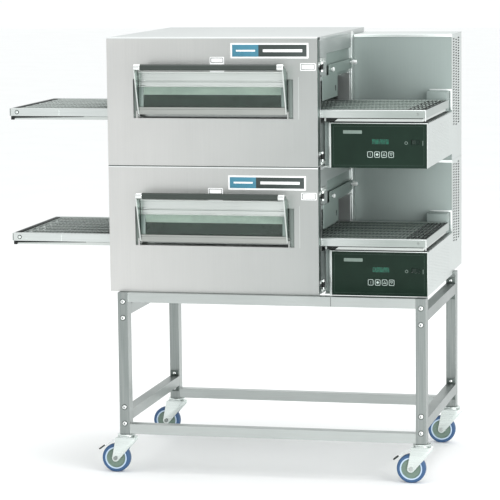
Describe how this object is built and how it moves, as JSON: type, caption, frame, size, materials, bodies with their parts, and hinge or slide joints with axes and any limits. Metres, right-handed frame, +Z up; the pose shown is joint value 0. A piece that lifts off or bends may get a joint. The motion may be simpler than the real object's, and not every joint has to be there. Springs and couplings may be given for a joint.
{
  "type": "conveyor pizza oven",
  "caption": "Double-stacked conveyor pizza oven: insulated chambers with a moving belt through each, drop-down access windows, side control boxes, and a wheeled stand.",
  "frame": {"origin": "on the floor, in the middle of the whole oven's footprint box", "axes": "+X to the oven's right (the control side), +Y to its back, +Z up; the doors face -Y"},
  "size_m": [1.561, 1.0066, 1.576],
  "materials": {
    "casing_steel": "brushed, satin",
    "door_steel": "brushed, satin",
    "housing_steel": "brushed, satin",
    "stand_steel": "brushed, satin",
    "rail_steel": "brushed, satin",
    "wire_steel": "drawn wire, dulled by heat",
    "dark_steel": "brushed, dulled by heat",
    "zinc": "bright zinc plate",
    "grip_black": "matt",
    "fascia_black": "satin film over sheet",
    "key_grey": "satin",
    "tinted_glass": "clear, tinted by the dark chamber behind it",
    "blue_rubber": "moulded blue tread on a grey core"
  },
  "bodies": {
    "frame": {"lower_casing": "casing_steel", "lower_conveyor_frame": "rail_steel", "lower_conveyor_belt": "wire_steel", "lower_air_finger_top": "dark_steel", "lower_air_finger_bottom": "dark_steel", "lower_machine_housing": "housing_steel", "lower_control_box": "casing_steel", "lower_control_fascia": "fascia_black", "upper_casing": "casing_steel", "upper_conveyor_frame": "rail_steel", "upper_conveyor_belt": "wire_steel", "upper_air_finger_top": "dark_steel", "upper_air_finger_bottom": "dark_steel", "upper_machine_housing": "housing_steel", "upper_control_box": "casing_steel", "upper_control_fascia": "fascia_black", "stand_front_frame": "stand_steel", "stand_rear_frame": "stand_steel", "stand_left_upper_rail": "stand_steel", "stand_left_lower_rail": "stand_steel", "stand_right_upper_rail": "stand_steel", "stand_right_lower_rail": "stand_steel"},
    "lower_front_door": {"lower_front_door": "door_steel"},
    "lower_window": {"lower_window_frame": "rail_steel", "lower_window_glass": "tinted_glass", "lower_window_handle": "grip_black"},
    "lower_exit_baffle": {"lower_exit_baffle": "dark_steel"},
    "lower_key_1": {"lower_key_1": "key_grey"},
    "lower_key_2": {"lower_key_2": "key_grey"},
    "lower_key_3": {"lower_key_3": "key_grey"},
    "lower_key_4": {"lower_key_4": "key_grey"},
    "lower_power_switch": {"lower_power_switch": "grip_black"},
    "lower_crumb_pan_left": {"lower_crumb_pan_left": "rail_steel"},
    "lower_crumb_pan_right": {"lower_crumb_pan_right": "rail_steel"},
    "lower_drive_shaft": {"lower_drive_shaft": "zinc"},
    "lower_idler_shaft": {"lower_idler_shaft": "zinc"},
    "lower_blower_wheel": {"lower_blower_wheel": "zinc"},
    "upper_front_door": {"upper_front_door": "door_steel"},
    "upper_window": {"upper_window_frame": "rail_steel", "upper_window_glass": "tinted_glass", "upper_window_handle": "grip_black"},
    "upper_exit_baffle": {"upper_exit_baffle": "dark_steel"},
    "upper_key_1": {"upper_key_1": "key_grey"},
    "upper_key_2": {"upper_key_2": "key_grey"},
    "upper_key_3": {"upper_key_3": "key_grey"},
    "upper_key_4": {"upper_key_4": "key_grey"},
    "upper_power_switch": {"upper_power_switch": "grip_black"},
    "upper_crumb_pan_left": {"upper_crumb_pan_left": "rail_steel"},
    "upper_crumb_pan_right": {"upper_crumb_pan_right": "rail_steel"},
    "upper_drive_shaft": {"upper_drive_shaft": "zinc"},
    "upper_idler_shaft": {"upper_idler_shaft": "zinc"},
    "upper_blower_wheel": {"upper_blower_wheel": "zinc"},
    "caster_front_left": {"caster_fork_front_left": "zinc"},
    "wheel_front_left": {"caster_wheel_front_left": "blue_rubber"},
    "caster_front_right": {"caster_fork_front_right": "zinc"},
    "wheel_front_right": {"caster_wheel_front_right": "blue_rubber"},
    "caster_rear_left": {"caster_fork_rear_left": "zinc"},
    "wheel_rear_left": {"caster_wheel_rear_left": "blue_rubber"},
    "caster_rear_right": {"caster_fork_rear_right": "zinc"},
    "wheel_rear_right": {"caster_wheel_rear_right": "blue_rubber"}
  },
  "joints": [
    {"name": "lower_door_hinge", "type": "hinge", "parent": "frame", "child": "lower_front_door", "pos_m": [0.3825, -0.38925, 0.852], "axis": [0, 0, 1], "range_deg": [0, 100]},
    {"name": "lower_window_hinge", "type": "hinge", "parent": "lower_front_door", "child": "lower_window", "pos_m": [-0.0035, -0.43875, 0.852], "axis": [1, 0, 0], "range_deg": [0, 90]},
    {"name": "lower_baffle_slide", "type": "slide", "parent": "frame", "child": "lower_exit_baffle", "axis": [0, 0, 1], "range_m": [-0.02, 0.04]},
    {"name": "lower_key_1_press", "type": "slide", "parent": "frame", "child": "lower_key_1", "axis": [0, 1, 0], "range_m": [0, 0.001], "stiffness_N_per_m": 600, "springref_m": -0.0005},
    {"name": "lower_key_2_press", "type": "slide", "parent": "frame", "child": "lower_key_2", "axis": [0, 1, 0], "range_m": [0, 0.001], "stiffness_N_per_m": 600, "springref_m": -0.0005},
    {"name": "lower_key_3_press", "type": "slide", "parent": "frame", "child": "lower_key_3", "axis": [0, 1, 0], "range_m": [0, 0.001], "stiffness_N_per_m": 600, "springref_m": -0.0005},
    {"name": "lower_key_4_press", "type": "slide", "parent": "frame", "child": "lower_key_4", "axis": [0, 1, 0], "range_m": [0, 0.001], "stiffness_N_per_m": 600, "springref_m": -0.0005},
    {"name": "lower_power_rocker", "type": "hinge", "parent": "frame", "child": "lower_power_switch", "pos_m": [0.7085, -0.33575, 0.745], "axis": [0, 0, 1], "range_deg": [-16, 0]},
    {"name": "lower_crumb_pan_left_slide", "type": "slide", "parent": "frame", "child": "lower_crumb_pan_left", "axis": [-1, 0, 0], "range_m": [0, 0.3]},
    {"name": "lower_crumb_pan_right_slide", "type": "slide", "parent": "frame", "child": "lower_crumb_pan_right", "axis": [1, 0, 0], "range_m": [0, 0.3]},
    {"name": "lower_drive_spin", "type": "hinge", "parent": "frame", "child": "lower_drive_shaft", "pos_m": [0.7215, -0.09675, 0.846], "axis": [0, 1, 0], "continuous": true},
    {"name": "lower_idler_spin", "type": "hinge", "parent": "frame", "child": "lower_idler_shaft", "pos_m": [-0.7525, -0.09675, 0.846], "axis": [0, 1, 0], "continuous": true},
    {"name": "lower_blower_spin", "type": "hinge", "parent": "frame", "child": "lower_blower_wheel", "pos_m": [-0.0085, 0.24825, 0.877], "axis": [0, 1, 0], "continuous": true},
    {"name": "upper_door_hinge", "type": "hinge", "parent": "frame", "child": "upper_front_door", "pos_m": [0.3825, -0.38925, 1.3092], "axis": [0, 0, 1], "range_deg": [0, 100]},
    {"name": "upper_window_hinge", "type": "hinge", "parent": "upper_front_door", "child": "upper_window", "pos_m": [-0.0035, -0.43875, 1.3092], "axis": [1, 0, 0], "range_deg": [0, 90]},
    {"name": "upper_baffle_slide", "type": "slide", "parent": "frame", "child": "upper_exit_baffle", "axis": [0, 0, 1], "range_m": [-0.02, 0.04]},
    {"name": "upper_key_1_press", "type": "slide", "parent": "frame", "child": "upper_key_1", "axis": [0, 1, 0], "range_m": [0, 0.001], "stiffness_N_per_m": 600, "springref_m": -0.0005},
    {"name": "upper_key_2_press", "type": "slide", "parent": "frame", "child": "upper_key_2", "axis": [0, 1, 0], "range_m": [0, 0.001], "stiffness_N_per_m": 600, "springref_m": -0.0005},
    {"name": "upper_key_3_press", "type": "slide", "parent": "frame", "child": "upper_key_3", "axis": [0, 1, 0], "range_m": [0, 0.001], "stiffness_N_per_m": 600, "springref_m": -0.0005},
    {"name": "upper_key_4_press", "type": "slide", "parent": "frame", "child": "upper_key_4", "axis": [0, 1, 0], "range_m": [0, 0.001], "stiffness_N_per_m": 600, "springref_m": -0.0005},
    {"name": "upper_power_rocker", "type": "hinge", "parent": "frame", "child": "upper_power_switch", "pos_m": [0.7085, -0.33575, 1.2022], "axis": [0, 0, 1], "range_deg": [-16, 0]},
    {"name": "upper_crumb_pan_left_slide", "type": "slide", "parent": "frame", "child": "upper_crumb_pan_left", "axis": [-1, 0, 0], "range_m": [0, 0.3]},
    {"name": "upper_crumb_pan_right_slide", "type": "slide", "parent": "frame", "child": "upper_crumb_pan_right", "axis": [1, 0, 0], "range_m": [0, 0.3]},
    {"name": "upper_drive_spin", "type": "hinge", "parent": "frame", "child": "upper_drive_shaft", "pos_m": [0.7215, -0.09675, 1.3032], "axis": [0, 1, 0], "continuous": true},
    {"name": "upper_idler_spin", "type": "hinge", "parent": "frame", "child": "upper_idler_shaft", "pos_m": [-0.7525, -0.09675, 1.3032], "axis": [0, 1, 0], "continuous": true},
    {"name": "upper_blower_spin", "type": "hinge", "parent": "frame", "child": "upper_blower_wheel", "pos_m": [-0.0085, 0.24825, 1.3342], "axis": [0, 1, 0], "continuous": true},
    {"name": "caster_front_left_swivel", "type": "hinge", "parent": "frame", "child": "caster_front_left", "pos_m": [-0.3405, -0.43575, 0.132], "axis": [0, 0, 1], "continuous": true},
    {"name": "wheel_front_left_spin", "type": "hinge", "parent": "caster_front_left", "child": "wheel_front_left", "pos_m": [-0.3785, -0.43575, 0.052], "axis": [0, 1, 0], "continuous": true},
    {"name": "caster_front_right_swivel", "type": "hinge", "parent": "frame", "child": "caster_front_right", "pos_m": [0.7445, -0.43575, 0.132], "axis": [0, 0, 1], "continuous": true},
    {"name": "wheel_front_right_spin", "type": "hinge", "parent": "caster_front_right", "child": "wheel_front_right", "pos_m": [0.7065, -0.43575, 0.052], "axis": [0, 1, 0], "continuous": true},
    {"name": "caster_rear_left_swivel", "type": "hinge", "parent": "frame", "child": "caster_rear_left", "pos_m": [-0.3405, 0.28525, 0.132], "axis": [0, 0, 1], "continuous": true},
    {"name": "wheel_rear_left_spin", "type": "hinge", "parent": "caster_rear_left", "child": "wheel_rear_left", "pos_m": [-0.3785, 0.28525, 0.052], "axis": [0, 1, 0], "continuous": true},
    {"name": "caster_rear_right_swivel", "type": "hinge", "parent": "frame", "child": "caster_rear_right", "pos_m": [0.7445, 0.28525, 0.132], "axis": [0, 0, 1], "continuous": true},
    {"name": "wheel_rear_right_spin", "type": "hinge", "parent": "caster_rear_right", "child": "wheel_rear_right", "pos_m": [0.7065, 0.28525, 0.052], "axis": [0, 1, 0], "continuous": true}
  ],
  "couplings": [
    {"joint": "lower_idler_spin", "follows": "lower_drive_spin", "ratio": 1},
    {"joint": "upper_idler_spin", "follows": "upper_drive_spin", "ratio": 1}
  ]
}
